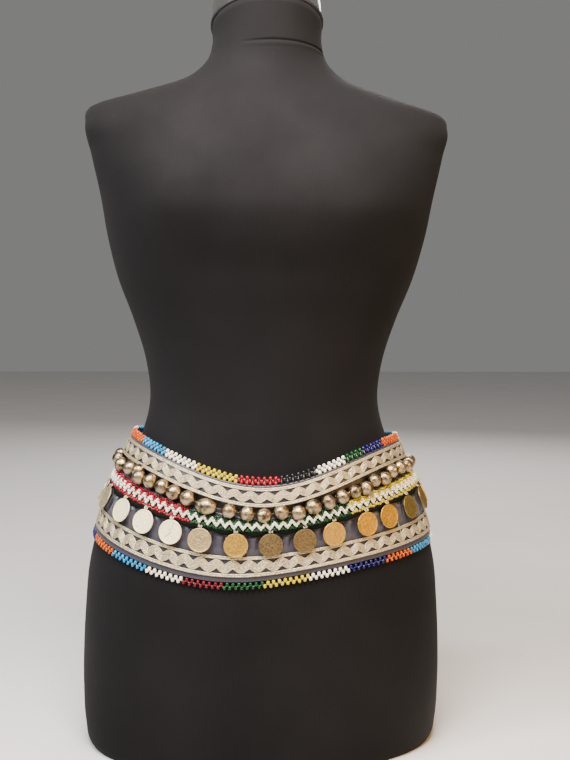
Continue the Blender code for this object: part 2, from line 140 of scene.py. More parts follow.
def tilted(points):
    """The neck's top is cut at a slant: it rises towards the front and falls behind."""
    share = np.clip((points[..., 2] - NECK_TILT_FROM) / (FORM_TOP - NECK_TILT_FROM), 0, 1)
    leaned = points.copy()
    leaned[..., 2] -= share * tan(NECK_TILT) * points[..., 1]
    return leaned


def closed_curve(values, angle):
    """A smooth wave through values at even steps round the form."""
    count = len(values)
    total = 0.0
    for number, value in enumerate(values):
        gap = angle - TURN * number / count
        waves = sum(np.cos(order * gap) for order in range(1, count // 2))
        total = total + value * (1 + 2 * waves + np.cos(count / 2 * gap)) / count
    return total


def station_point(index, angle):
    heights, stand_offs = STATIONS[index]
    height = closed_curve(heights, angle) * MM
    radius = form_radius(angle, height) + closed_curve(stand_offs, angle) * MM
    return around_axis(angle, radius, height)


def unit(vectors):
    return vectors / np.linalg.norm(vectors, axis=-1, keepdims=True)


def strip_frame(angle, row):
    """The point on the strip at a row, and the directions out of it and down along it."""
    index = min(int(row), len(STATIONS) - 2)
    share = row - index
    upper, lower = (station_point(index + below, angle) for below in (0, 1))
    upper_ahead, lower_ahead = (
        station_point(index + below, angle + ANGLE_STEP) for below in (0, 1)
    )
    here = upper + share * (lower - upper)
    ahead = upper_ahead + share * (lower_ahead - upper_ahead)
    down = unit(lower - upper)
    return here, unit(np.cross(down, ahead - here)), down


def frame_at(angle, row):
    """The point on the strip at one angle, and the directions out, down and across."""
    here, out, down = (part[0] for part in strip_frame(np.array([angle]), row))
    return here, out, down, np.cross(out, down)


def strip_point(angle, row, lift=0, drop=0):
    here, out, down = strip_frame(angle, row)
    return here + np.asarray(lift)[..., None] * out + np.asarray(drop)[..., None] * down


def run_length(path):
    """How far each point of a path lies from its start."""
    steps = np.linalg.norm(np.diff(path, axis=0), axis=1)
    return np.concatenate([[0], np.cumsum(steps)])


def path_length(row):
    angles = np.linspace(CLOSURE_ANGLE, CLOSURE_ANGLE + TURN, FINE_STEPS + 1)
    return angles, run_length(strip_point(angles, row))


def angles_along(row, count, margin):
    """Angles at even steps of length, from one side of the closure round to the other."""
    angles, length = path_length(row)
    return np.interp(np.linspace(margin, length[-1] - margin, count), length, angles)


def trim_length(row):
    return path_length(row)[1][-1] - 2 * TRIM_MARGIN


def trim_angles(row, count):
    return angles_along(row, count, TRIM_MARGIN)


# ---- helpers for shapes and meshes
TUBE_END = 0.02


def hill(off, width):
    """A soft hill: 1 in its middle, and next to nothing at twice its width."""
    return np.exp(-((off / width) ** 2))


def signed(angle):
    """The same angle, between minus and plus half a turn."""
    return (angle + pi) % TURN - pi


def whole_turn(count):
    """Angles at even steps round a circle."""
    return np.linspace(0, TURN, count, endpoint=False)


def headings(path):
    """The direction along an open path at each of its points."""
    return unit(np.gradient(path, axis=0))


def add_object(name, data):
    made = bpy.data.objects.new(name, data)
    bpy.context.scene.collection.objects.link(made)
    return made


def new_mesh(name, points, faces):
    """A smooth mesh object from an array of points and an array of faces."""
    mesh = bpy.data.meshes.new(name)
    points = np.reshape(points, (-1, 3)).tolist()
    mesh.from_pydata(points, [], np.asarray(faces).tolist(), shade_flat=False)
    mesh.validate()
    return add_object(name, mesh)


def grid_faces(rows, columns, wrap_rows=False, wrap_columns=False):
    """Quads between neighbouring points of a grid that is stored row by row."""
    row = np.arange(rows if wrap_rows else rows - 1)
    column = np.arange(columns if wrap_columns else columns - 1)
    row, column = np.meshgrid(row, column, indexing="ij")
    next_row, next_column = (row + 1) % rows, (column + 1) % columns
    corners = ((row, column), (row, next_column), (next_row, next_column), (next_row, column))
    return np.stack([down * columns + along for down, along in corners], -1).reshape(-1, 4)


def closed_grid(rings):
    """Points and quads of a grid that closes both ways."""
    points = np.array(rings)
    faces = grid_faces(*points.shape[:2], wrap_rows=True, wrap_columns=True)
    return points.reshape(-1, 3), faces


def tube(path, half_width, half_height, side, up, sides=5):
    """Points and quads of an open path swept with an ellipse, its two ends drawn together."""
    turn = whole_turn(sides)[None, :, None]
    taper = np.ones(len(path))
    taper[[0, -1]] = TUBE_END
    wide = (half_width * taper)[:, None, None]
    high = (half_height * taper)[:, None, None]
    points = path[:, None] + wide * np.cos(turn) * side[:, None]
    points = points + high * np.sin(turn) * up[:, None]
    return points.reshape(-1, 3), grid_faces(len(path), sides, wrap_columns=True)


def joined(parts):
    """One set of points and quads from several."""
    starts = np.cumsum([0] + [len(points) for points, _ in parts])
    faces = [faces + start for (_, faces), start in zip(parts, starts)]
    return np.concatenate([points for points, _ in parts]), np.concatenate(faces)


@contextmanager
def edited(obj):
    """A piece's mesh, open for edits that are written back."""
    work = bmesh.new()
    work.from_mesh(obj.data)
    yield work
    work.to_mesh(obj.data)
    work.free()


def face_out(obj):
    """Turns the faces of closed shells outwards."""
    with edited(obj) as work:
        bmesh.ops.recalc_face_normals(work, faces=work.faces)


def weld_seams(obj):
    """Joins a grid's first and last columns, which keep their own UVs, and fills its rims."""
    with edited(obj) as work:
        bmesh.ops.remove_doubles(work, verts=work.verts, dist=1e-6)
        bmesh.ops.holes_fill(work, edges=[edge for edge in work.edges if edge.is_boundary])


def ribbon(name, corners):
    """A closed solid swept along rows of corner points."""
    points = np.stack(corners, axis=1)
    made = new_mesh(name, points, grid_faces(*points.shape[:2], wrap_columns=True))
    weld_seams(made)
    face_out(made)
    return made


def set_uv(obj, u, v):
    """Places in metres along and up a surface, one pair for each point."""
    layer = obj.data.uv_layers.new(name="metres")
    corner = np.zeros(len(obj.data.loops), np.int32)
    obj.data.loops.foreach_get("vertex_index", corner)
    pairs = np.stack([np.ravel(u)[corner], np.ravel(v)[corner]], -1)
    layer.data.foreach_set("uv", pairs.astype(np.float32).ravel())


# ---- materials
class Shader:
    """A Principled material and short calls that add nodes to it."""

    def __init__(self, name, color, roughness, metallic=0, **sockets):
        self.material = bpy.data.materials.new(name)
        self.material.use_nodes = True
        self.nodes = self.material.node_tree.nodes
        self.links = self.material.node_tree.links
        self.out = self.nodes["Principled BSDF"]
        sockets |= {"Base_Color": (*color, 1), "Roughness": roughness, "Metallic": metallic}
        for socket, value in sockets.items():
            self.out.inputs[socket.replace("_", " ")].default_value = value

    def add(self, kind, output, inputs, **settings):
        """An output of a new node, whose inputs are numbers or other nodes' outputs."""
        node = self.nodes.new("ShaderNode" + kind)
        for key, value in settings.items():
            setattr(node, key, value)
        for socket, value in inputs.items():
            if isinstance(value, bpy.types.NodeSocket):
                self.links.new(value, node.inputs[socket])
            else:
                node.inputs[socket].default_value = value
        return node.outputs[output]

    def noise(self, scale, detail):
        place = self.add("TexCoord", "Object", {})
        return self.add("TexNoise", "Fac", {"Scale": scale, "Detail": detail, "Vector": place})

    def wave(self, pitch, direction, kind="UV", bend=0):
        """Stripes of one pitch in metres. The node has 20 radians in a unit."""
        inputs = {
            "Scale": TURN / 20 / pitch,
            "Distortion": bend,
            "Detail Scale": 2.5,
            "Vector": self.add("TexCoord", kind, {}),
        }
        return self.add("TexWave", "Fac", inputs, wave_type="BANDS", bands_direction=direction)

    def ramp(self, factor, stops):
        made = self.add("ValToRGB", "Color", {"Fac": factor})
        elements = made.node.color_ramp.elements
        while len(elements) < len(stops):
            elements.new(0.5)
        for element, (place, color) in zip(elements, stops):
            element.position = place
            element.color = (*color, 1)
        return made

    def product(self, first, second):
        inputs = {0: first, 1: second}
        return self.add("VectorMath", "Vector", inputs, operation="MULTIPLY")

    def color(self, output):
        self.links.new(output, self.out.inputs["Base Color"])

    def roughness(self, factor, low, high):
        """Runs the roughness between two values as the factor goes from 0.3 to 0.7."""
        inputs = {"Value": factor, "From Min": 0.3, "From Max": 0.7, "To Min": low, "To Max": high}
        self.links.new(self.add("MapRange", "Result", inputs), self.out.inputs["Roughness"])

    def bump(self, height, distance, strength):
        """Adds a bump over those that the material already has."""
        inputs = {"Strength": strength, "Distance": distance, "Height": height}
        before = self.out.inputs["Normal"].links
        if before:
            inputs["Normal"] = before[0].from_socket
        self.links.new(self.add("Bump", "Normal", inputs), self.out.inputs["Normal"])


def shade(color, factor):
    return tuple(min(1, factor * channel) for channel in color)


def speckled(name, color, roughness, metallic, scale, spread, bumps=(), **sockets):
    """A material whose colour and gloss vary a little from place to place."""
    made = Shader(name, color, roughness, metallic, **sockets)
    fine = made.noise(scale, 4)
    stops = ((0.3, shade(color, 1 - spread)), (0.7, shade(color, 1 + spread)))
    made.color(made.ramp(fine, stops))
    made.roughness(fine, roughness * 1.15, roughness * 0.85)
    for first, second, distance, strength in bumps:
        raised = made.wave if isinstance(second, str) else made.noise
        made.bump(raised(first, second), distance, strength)
    return made.material


def ball_material():
    """Aged silver, worn through to warm brass in places, with darker tarnish."""
    made = Shader("aged_silver", (0.6, 0.56, 0.46), 0.3, 1)
    stops = (
        (0.32, (0.05, 0.035, 0.02)),
        (0.43, (0.22, 0.17, 0.1)),
        (0.56, (0.41, 0.34, 0.22)),
        (0.7, (0.44, 0.27, 0.08)),
    )
    made.color(made.ramp(made.noise(150, 4), stops))
    made.roughness(made.noise(420, 5), 0.24, 0.44)
    made.bump(made.noise(520, 3), 0.0008, 0.5)
    return made.material


def coin_material(name, color, roughness, metallic, depth):
    """Worn coin metal: a fine scrolled relief, darker in the hollows, dull in patches."""
    made = Shader(name, color, roughness, metallic)
    stops = ((0.32, shade(color, 1 - depth)), (0.5, color), (0.72, shade(color, 1.18)))
    worn = made.ramp(made.noise(700, 7), stops)
    scrolls = made.wave(0.0011, "DIAGONAL", "Object", bend=9)
    hollows = made.ramp(scrolls, ((0.05, (1 - depth,) * 3), (0.42, (1,) * 3)))
    made.color(made.product(worn, hollows))
    made.roughness(made.noise(190, 4), roughness * 0.85, roughness * 1.2)
    made.bump(scrolls, 0.00022, 0.4)
    made.bump(made.noise(1100, 4), 0.0003, 0.35)
    return made.material


def bead_material(name, color):
    made = Shader(name, color, 0.22, Coat_Weight=0.08, Coat_Roughness=0.1, Specular_IOR_Level=0.35)
    stops = ((0.35, shade(color, 0.68)), (0.65, shade(color, 1.18)))
    made.color(made.ramp(made.noise(420, 1), stops))
    made.bump(made.noise(900, 1), 0.00015, 0.3)
    return made.material


LOOKS = {
    # name: colour, roughness, metallic, the speckles' scale and spread, then each bump: a noise's
    # scale and detail or a wave's pitch and direction, and the depth and strength
    "black_rubber": ((0.012, 0.012, 0.013), 0.55, 0, 500, 0.2, [(1500, 3, 0.0002, 0.3)]),
    "chrome_cap": ((0.74, 0.71, 0.66), 0.16, 1, 60, 0.06, [(900, 2, 0.0001, 0.15)]),
    "metal_thread": ((0.52, 0.445, 0.285), 0.38, 0.6, 900, 0.55, [(1100, 3, 0.0006, 0.9)]),
    "waxed_thread": ((0.07, 0.055, 0.035), 0.6, 0, 900, 0.25, [(2500, 3, 0.0002, 0.6)]),
    "cotton_thread": ((0.5, 0.46, 0.38), 0.8, 0, 900, 0.25, [(2500, 3, 0.0002, 0.6)]),
    # the dark felt is also painted shadow where it shows below the bead band
    "dark_felt_and_shadow": ((0.0055, 0.0075, 0.006), 0.9, 0, 700, 0.3, [(1800, 3, 0.0004, 0.8)]),
    "hook_steel": ((0.62, 0.62, 0.6), 0.28, 1, 700, 0.12, [(2400, 3, 0.0001, 0.3)]),
    "tarnish": ((0.035, 0.028, 0.018), 0.7, 0.2, 1500, 0.3),
    "pale_floor": ((0.7, 0.69, 0.67), 0.75, 0, 6, 0.02),
    "knit_jersey": (
        (0.0064, 0.0061, 0.0065), 0.8, 0, 9, 0.16,
        [(0.0017, "X", 0.0003, 0.3), (0.001, "Y", 0.0001, 0.12), (260, 5, 0.0004, 0.25)],
    ),
    "satin": (
        (0.033, 0.03, 0.043), 0.38, 0, 34, 0.18,
        [(0.0005, "X", 6e-5, 0.15), (0.0005, "Y", 6e-5, 0.15), (95, 2, 0.0016, 0.35)],
    ),
}
SOCKETS = {
    "dark_felt_and_shadow": {"Specular_IOR_Level": 0.1},
    "knit_jersey": {"Sheen_Weight": 0.016, "Sheen_Roughness": 0.5, "Specular_IOR_Level": 0.08},
    "satin": {"Sheen_Weight": 0.12},
}
BEAD_COLORS = {
    "white": (0.97, 0.88, 0.7),
    "yellow": (0.54, 0.43, 0),
    "red": (0.28, 0, 0.01),
    "dark_red": (0.11, 0, 0.008),
    "green": (0, 0.05, 0.01),
    "navy": (0.004, 0.004, 0.075),
    "orange": (0.46, 0.07, 0),
    "light_blue": (0.02, 0.2, 0.4),
    "black": (0.006, 0.006, 0.008),
}
BEAD_NAMES = list(BEAD_COLORS)
looks = {name: speckled(name, *look, **SOCKETS.get(name, {})) for name, look in LOOKS.items()}
glass = [bead_material(f"glass_{name}", color) for name, color in BEAD_COLORS.items()]


def dress(obj, materials, replaces=(), body="root"):
    """Gives a piece its materials, its body and the nodes that it stands for."""
    for material in materials:
        obj.data.materials.append(material)
    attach(obj, body)
    if replaces:
        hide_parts(*replaces)


def add_thread(name, path, radius, look="cotton_thread"):
    """A round thread or wire along a path."""
    along = headings(path)
    side = unit(np.cross(along, [0, 0, 1]))
    made = new_mesh(name, *tube(path, radius, radius, side, np.cross(side, along)))
    dress(made, [looks[look]])


# ---- the form
CREASE_HEIGHT = 0.6475


def bust(angles, height):
    """How far the jersey stands out over the bust: two points, the cloth bridged between."""
    middle, rise = 0.504, 0.008
    bridge_share, bridge_reach = 0.6, 0.8
    point_share, point_turn, point_width = 0.4, 0.66, 0.27
    above, below = 0.04, 0.023
    hollow_share, hollow_drop, hollow_width = 0.55, 0.06, 0.028
    around = signed(angles)
    bridge = bridge_share * np.exp(-((around / bridge_reach) ** 4))
    points = point_share * hill(np.abs(around) - point_turn, point_width)
    off = height - middle
    swell = hill(off, above if off > 0 else below)
    hollow = hollow_share * hill(off + hollow_drop, hollow_width)
    return rise * (bridge + points) * (swell - hollow)


def crease(angles, height):
    """How far the jersey is drawn in along the neck's fold, which fades at its ends."""
    depth, width, sway = 0.0011, 0.0007, 0.0007
    start, end, start_fade, end_fade = radians(-38), radians(84), 0.5, 0.25
    lip_share, lip_drop, lip_width = 0.35, 0.0022, 0.0013
    around = signed(angles)
    strength = np.clip((around - start) / start_fade, 0, 1)
    strength = strength * np.clip((end - around) / end_fade, 0, 1)
    wander = sway * np.sin(1.7 * around + 0.6) * np.cos(0.5 * around)
    off = height - CREASE_HEIGHT - wander
    fold = hill(off, width) - lip_share * hill(off + lip_drop, lip_width)
    return depth * strength * fold


def dress_form():
    """The form's skin on a fine grid, drawn in to a small ring under each end."""
    columns, rows, crease_rows, reach, girth_radius = 161, 180, 27, 0.0045, 0.14
    ends = (0.02, 0.5, 0.97)
    angles = np.linspace(0, TURN, columns)
    even = np.linspace(0, FORM_TOP, rows)
    near = np.abs(even - CREASE_HEIGHT) < reach
    fine = np.linspace(CREASE_HEIGHT - reach, CREASE_HEIGHT + reach, crease_rows)
    heights = np.sort(np.concatenate([even[~near], fine]))
    rings = []
    for height in heights:
        level = np.full(len(angles), height)
        radius = form_radius(angles, level) + bust(angles, height) - crease(angles, height)
        rings.append(tilted(around_axis(angles, radius, level)))
    bottom = [share * rings[0] for share in ends]
    top_middle = rings[-1].mean(axis=0)
    top = [top_middle + share * (rings[-1] - top_middle) for share in ends[::-1]]
    points = np.stack(bottom + rings + top)
    made = new_mesh("form_jersey", points, grid_faces(len(points), columns))
    levels = np.concatenate([[0] * len(bottom), heights, [heights[-1]] * len(top)])
    set_uv(made, *np.meshgrid(girth_radius * angles, levels))
    weld_seams(made)
    face_out(made)
    dress(made, [looks["knit_jersey"]], ["form_body"])


NECK_COLUMNS = 120
GASKET_PROFILE = (
    # share of the height, share of the proud part
    (0, -6), (0, 0.2), (0.1, 0.75), (0.3, 1), (0.7, 1), (0.9, 0.75), (1, 0.2),
    (1, -6),
)
CAP_PROFILE = (
    # share of the height, share of the neck's half width
    (0, 0.6), (0, 0.992), (0.03, 1), (0.3, 1), (0.62, 1), (0.72, 0.992), (0.8, 0.972),
    (0.87, 0.935), (0.92, 0.885), (0.96, 0.82), (0.985, 0.75), (1, 0.66), (1, 0.3), (1, 0.01),
)


def neck_ring(grow, height):
    """A ring square to the leaning neck, over its top."""
    angles = whole_turn(NECK_COLUMNS)
    top = np.full(NECK_COLUMNS, FORM_TOP)
    points = tilted(around_axis(angles, form_radius(angles, top) + grow, top))
    return points + height * np.array([0, sin(NECK_TILT), cos(NECK_TILT)])


def neck_pieces():
    rings = [neck_ring(RING_PROUD * out, NECK_GAP + up * RING_HEIGHT) for up, out in GASKET_PROFILE]
    gasket = new_mesh("neck_gasket_ring", *closed_grid(rings))
    face_out(gasket)
    dress(gasket, [looks["black_rubber"]], ["neck_gasket"])

    base = NECK_GAP + RING_HEIGHT + NECK_GAP
    rings = [
        neck_ring(-CAP_INSET - (1 - out) * NECK_HALF_WIDTH, base + up * CAP_HEIGHT)
        for up, out in CAP_PROFILE
    ]
    faces = grid_faces(len(rings), NECK_COLUMNS, wrap_columns=True)
    cap = new_mesh("neck_cap_chrome", rings, faces)
    weld_seams(cap)
    face_out(cap)
    dress(cap, [looks["chrome_cap"]], ["neck_cap"])


# ---- the satin strip
CLOTH_COLUMNS = COIN_COUNT * 20
CLOTH_ROWS = np.array([
    0, 0.06, 0.3, 0.55, 0.8, 0.94, 1, 1.25, 1.75, 2, 2.12, 2.5, 2.88, 3, 3.25, 3.75, 4,
    4.2, 4.5, 4.8, 4.97, 5.1, 5.25, 5.4, 5.55, 5.7, 5.85, 6, 6.15, 6.3, 6.45, 6.6, 6.75, 6.88,
    7, 7.35, 7.66, 7.85, 7.95, 8,
])
PUCKER_DRAWS = ((0.65, 1.15), (-0.1, 0.1), (0.12, 0.19))  # size, slant and width of a fold
RIPPLES = ((3, 0.0006), (5, 0.00038), (8, 0.00016))  # waves from coin to coin, height
FLAT_SIZE = (0.9, 0.102)


def pucker_depth(place, row):
    """How far the satin stands out between the coins. place counts coins along the strip."""
    rng = random.Random(11)
    depth, start, start_fade, end_fade = 0.0038, 5.2, 0.6, 0.55
    fullness = np.clip((row - start) / start_fade, 0, 1)
    fullness = fullness * np.clip((LOW_BRAID - row) / end_fade, 0, 1)
    fullness = fullness * fullness * (3 - 2 * fullness)
    nearest = np.round(place).astype(int)
    size, slant, width = (
        np.array([rng.uniform(*reach) for _ in range(COIN_COUNT + 1)])[nearest]
        for reach in PUCKER_DRAWS
    )
    fold = size * hill(place - nearest - slant * (row - 6), width)
    ripple = sum(
        height * np.sin(TURN * waves * place + 1.7 * waves + 0.8 * row) for waves, height in RIPPLES
    )
    stitch_pull, stitches = 0.00012, 7
    pull = stitch_pull * np.sin(TURN * stitches * place + 2.0 * row)
    return depth * fullness * fold + fullness * ripple + pull


def satin_strip():
    """One wall of satin through all stations, with soft upright folds between the coins."""
    angles = angles_along(BAND_END, CLOTH_COLUMNS + 1, CLOSURE_GAP / 2)
    place = np.linspace(0, COIN_COUNT, CLOTH_COLUMNS + 1)
    outer, inner, reach = [], [], 0.03
    for row in CLOTH_ROWS:
        here, out, _ = strip_frame(angles, row)
        below = strip_frame(angles, min(row + reach, LOW_EDGE))[1]
        above = strip_frame(angles, max(row - reach, 0))[1]
        out = unit(out + below + above)
        depth = pucker_depth(place, row)
        outer.append(here + depth[:, None] * out)
        inner.append(here + (depth - CLOTH_WALL)[:, None] * out)
    points = np.stack(outer + inner[::-1])
    made = new_mesh("satin_strip", points, grid_faces(*points.shape[:2], wrap_rows=True))
    length = place / COIN_COUNT * FLAT_SIZE[0]
    down = np.concatenate([CLOTH_ROWS, CLOTH_ROWS[::-1]]) / LOW_EDGE * FLAT_SIZE[1]
    set_uv(made, *np.meshgrid(length, down))
    close_ends(made, *points.shape[:2])
    face_out(made)
    dress(made, [looks["satin"]], ["belt_cloth"])


def close_ends(obj, rows, columns):
    """Bridges the two walls' open rims at the closure with a strip of faces each."""
    with edited(obj) as work:
        work.verts.ensure_lookup_table()
        for column in (0, columns - 1):
            for row in range(rows // 2 - 1):
                other = rows - 1 - row
                corners = [row, row + 1, other - 1, other]
                work.faces.new([work.verts[number * columns + column] for number in corners])


# ---- the metal-thread braids
CORDS = (
    # node, highest row, lowest row
    ("braid_upper_cord_a", 0.11, 0.26),
    ("braid_upper_cord_b", 0.82, 0.97),
    ("braid_lower_cord_a", 7.01, 7.14),
    ("braid_lower_cord_b", 7.67, 7.8),
)
WAVES = (
    ("braid_upper_wave", 0.275, 0.805),
    ("braid_lower_wave", 7.148, 7.662),
)


def braid(name, strands):
    made = new_mesh(name + "_strands", *joined(strands))
    dress(made, [looks["metal_thread"]], [name])


def cord(name, upper, lower):
    """Two flat strands side by side, stitched down at short steps."""
    count_across, width, height = 2, 0.00078, 0.00058
    step, stitch_length, swelling = 0.0009, 0.0027, 0.08
    middle = (upper + lower) / 2
    length = trim_length(middle)
    count = round(length / step)
    angles = trim_angles(middle, count)
    strands = []
    for strand in range(count_across):
        row = upper + (lower - upper) * (strand + 0.5) / count_across
        here, out, down = strip_frame(angles, row)
        path = here + (TRIM_GAP + height) * out
        stitch = np.linspace(0, TURN * length / stitch_length, count) + pi * strand
        swell = 1 + swelling * np.sin(stitch)
        strands.append(tube(path, width * swell, height * swell, down, out, sides=6))
    braid(name, strands)


def wave_shift(turn):
    """A rounded wave from -1 to 1 whose crests are a little fuller than a sine's."""
    fullness = 0.2
    return (np.sin(turn) + fullness * np.sin(turn) ** 3) / (1 + fullness)


def wave_braid(name, highest, lowest):
    """A flat serpentine braid of parallel strands."""
    period, period_steps, band_share, count_across = 0.0143, 26, 0.63, 6
    wide_share, thick, lowest_lift, crown = 0.56, 0.00062, 0.0006, 0.00018
    middle = (highest + lowest) / 2
    count = round(trim_length(middle) / period) * period_steps
    angles = trim_angles(middle, count + 1)
    here, out, down = strip_frame(angles, middle)
    height = np.linalg.norm(strip_point(angles, lowest) - strip_point(angles, highest), axis=1)
    half_band = band_share * height / 2
    swing = height / 2 - half_band
    steps = np.arange(count + 1)
    spine = here + (swing * wave_shift(TURN * steps / period_steps))[:, None] * down
    side = unit(np.cross(out, headings(spine)))
    strand_width = 2 * half_band / count_across
    stitch_steps, stitch_lag, stitch_swell = 3, 2.1, 0.1
    strands = []
    for strand in range(count_across):
        share = (strand + 0.5) / count_across * 2 - 1
        swell = 1 + stitch_swell * np.sin(TURN * steps / stitch_steps + stitch_lag * strand)
        lift = TRIM_GAP + lowest_lift + crown * (1 - abs(share))
        path = spine + (share * half_band)[:, None] * side + lift * out
        wide = strand_width * wide_share * swell
        strands.append(tube(path, wide, thick * swell, side, out))
    braid(name, strands)


# ---- the bells in the trough
SEEN_BELLS = (
    # angle in degrees, drop in mm, lift in mm, length share, height share
    (-96, 0, 0, 1, 1), (-87.5, 1.5, 0, 1, 1), (-79, 3, 0.2, 1, 1), (-71, 0.6, 0, 1, 1),
    (-65.6, -1.6, -0.5, 0.95, 0.95), (-63, 3.2, 1.8, 1, 1), (-57.5, 1, 0.3, 1, 1.05),
    (-51.8, 0.6, 0.3, 1.04, 1.02), (-46.4, 0.8, 0.4, 1.05, 1.05), (-40.3, 0.7, 0.4, 1.06, 1.06),
    (-32.4, 1.8, 0.6, 1.5, 1.1), (-22.6, 0.2, 0.4, 1.05, 1.02), (-14.5, 0.1, 0.4, 1.08, 1.04),
    (-7.1, 0.8, 0.3, 1.02, 1.02), (1, -0.8, 0.3, 1.04, 1.02), (9, 2.6, 0.4, 1.02, 1.04),
    (16.1, 1.2, 0.5, 1.14, 1.04), (23.3, 2.2, 0.3, 0.98, 1.05), (30, 2.2, 0.3, 0.98, 1),
    (36.3, 2.6, 0, 0.9, 0.95), (41.9, 4.4, 0.3, 0.98, 1.05), (47, 1, 0, 0.92, 0.95),
    (52.5, 3.3, 0.6, 0.9, 0.98), (58.2, -0.2, 0.4, 1.02, 1.02), (64.8, 0.2, 0, 0.95, 1),
    (71.5, 2.2, 0.4, 0.95, 1), (78.5, 0.8, 0, 1, 1),
)
UNSEEN_DRAWS = ((0.2, 1.8), (0.94, 1.06), (0.95, 1.04))  # drop in mm, length and height share
BELL_SWELL = 1.12


def bell_places():
    """Angle, drop, lift and shares of all bells: the seen ones, then evenly spaced ones."""
    places = [(radians(angle), *rest) for angle, *rest in SEEN_BELLS]
    angles, length = path_length(BELL_ROW)
    first, last = (np.interp(place[0], angles, length) for place in (places[0], places[-1]))
    rng = random.Random(5)
    margin = TRIM_MARGIN + BELL_RADIUS
    after = np.arange(last + BELL_PITCH, length[-1] - margin, BELL_PITCH)
    before = np.arange(first - BELL_PITCH, margin, -BELL_PITCH)
    for place in (*after, *before):
        drop, wide, high = (rng.uniform(*reach) for reach in UNSEEN_DRAWS)
        places.append((float(np.interp(place, length, angles)), drop, 0, wide, high))
    return sorted(places)


def bell(rng, angle, drop, lift, wide, high):
    """A beaten hollow bell's middle and shape: dented, with a seam and a hole at each end."""
    seat, columns, rings, hole, dents, inside = 0.97, 22, 13, 0.13, 7, (0.8, 0.9, 0.9)
    here, out, down, across = frame_at(angle, BELL_ROW)
    stand = TRIM_GAP + BELL_SWELL * BELL_RADIUS * seat + lift * MM
    middle = here + drop * MM * down + stand * out
    tip = rng.uniform(-0.25, 0.25)
    axis = cos(tip) * across + sin(tip) * down
    side = np.cross(axis, out)
    polar = np.linspace(hole, pi - hole, rings)[:, None]
    turn = whole_turn(columns)[None, :] + rng.uniform(0, 1)
    x, y, z = np.cos(polar), np.sin(polar) * np.cos(turn), np.sin(polar) * np.sin(turn)
    radius = 1 + 0 * polar * turn
    for _ in range(dents):
        spot = unit(np.array([rng.gauss(0, 1) for _ in range(3)]))
        near = x * spot[0] + y * spot[1] + z * spot[2]
        depth, size = rng.uniform(0.02, 0.07), rng.uniform(0.02, 0.1)
        radius = radius - depth * np.exp((near - 1) / size)
    seam_height, seam_width, length = 0.025, 0.1, 1.02
    seam = seam_height * hill(polar - pi / 2, seam_width)
    radius = BELL_SWELL * BELL_RADIUS * (radius + seam)
    local = np.stack([wide * radius * x * length, high * radius * y, high * radius * z], -1)
    local = np.concatenate([local, local[[-1, 0]] * inside])
    return middle, closed_grid(middle + local @ np.stack([axis, out, side]))


def bells():
    """The row of bells, on one waxed thread."""
    row = [bell(random.Random(100 + n), *place) for n, place in enumerate(bell_places())]
    made = new_mesh("bells_beaten", *joined([shape for _, shape in row]))
    face_out(made)
    dress(made, [ball_material()], ["bell_row"])
    middles = np.array([middle for middle, _ in row])
    path = np.stack([middles[:-1], (middles[:-1] + middles[1:]) / 2], 1).reshape(-1, 3)
    path = np.concatenate([path, middles[-1:]])
    add_thread("bell_thread", path, radius=0.00045, look="waxed_thread")


# ---- the glass seed beads
BEAD_PROFILE = (
    # place along the bead in lengths, share of its radius
    (-0.5, 0.5), (-0.36, 0.88), (0, 1), (0.36, 0.88), (0.5, 0.5), (0.36, 0.26),
    (-0.36, 0.26),
)
BEAD_SIDES = 8
BEAD_AWAY = (0.31, 0.17, 0.93)  # a direction that no bead's hole runs along
TOP_PICOT = (
    # way out in metres, slant of the hole, radius, length, and 1 for odd steps or 0 for even
    (0.0015, 0.12, 0.00155, 0.0034, 1),
    (0.0037, 0.3, 0.00152, 0.0033, 0),
    (0.0061, 0.42, 0.00152, 0.0032, 1),
)
BOTTOM_PICOT = (
    (0.0023, 0.12, 0.00158, 0.0038, 1),
    (0.0051, 0.32, 0.0015, 0.0034, 0),
)
TOP_RUNS = (
    # colour, and the angle in degrees where it ends
    ("orange", -160), ("navy", -144.5), ("green", -129), ("white", -113.5), ("light_blue", -99),
    ("white", -90), ("orange", -70.4), ("light_blue", -54.9), ("white", -38.3), ("yellow", -19),
    ("red", 0.8), ("black", 17.9), ("white", 33.7), ("green", 43.8), ("navy", 57.4),
    ("orange", 78.9), ("white", 92), ("light_blue", 106), ("yellow", 121), ("red", 137),
    ("black", 153), ("white", 169), ("green", 184),
)
BOTTOM_RUNS = (
    ("red", -163), ("green", -149.5), ("yellow", -136.5), ("white", -123), ("dark_red", -109.5),
    ("green", -96), ("navy", -81.7), ("orange", -67.9), ("light_blue", -54.2), ("white", -40.1),
    ("dark_red", -23.7), ("green", -6.5), ("yellow", 14), ("white", 32.3), ("navy", 47.8),
    ("orange", 60.8), ("light_blue", 76.4), ("white", 90), ("dark_red", 103.5), ("green", 117),
    ("yellow", 130.5), ("white", 144), ("navy", 157.5), ("orange", 171), ("light_blue", 184),
)
BAND_RUNS = (
    ("green", -137), ("red", -38.4), ("green", 33.2), ("yellow", 118), ("red", 184),
)


def run_color(runs, angle):
    turn = degrees(angle)
    return next((color for color, end in runs if turn < end), runs[-1][0])


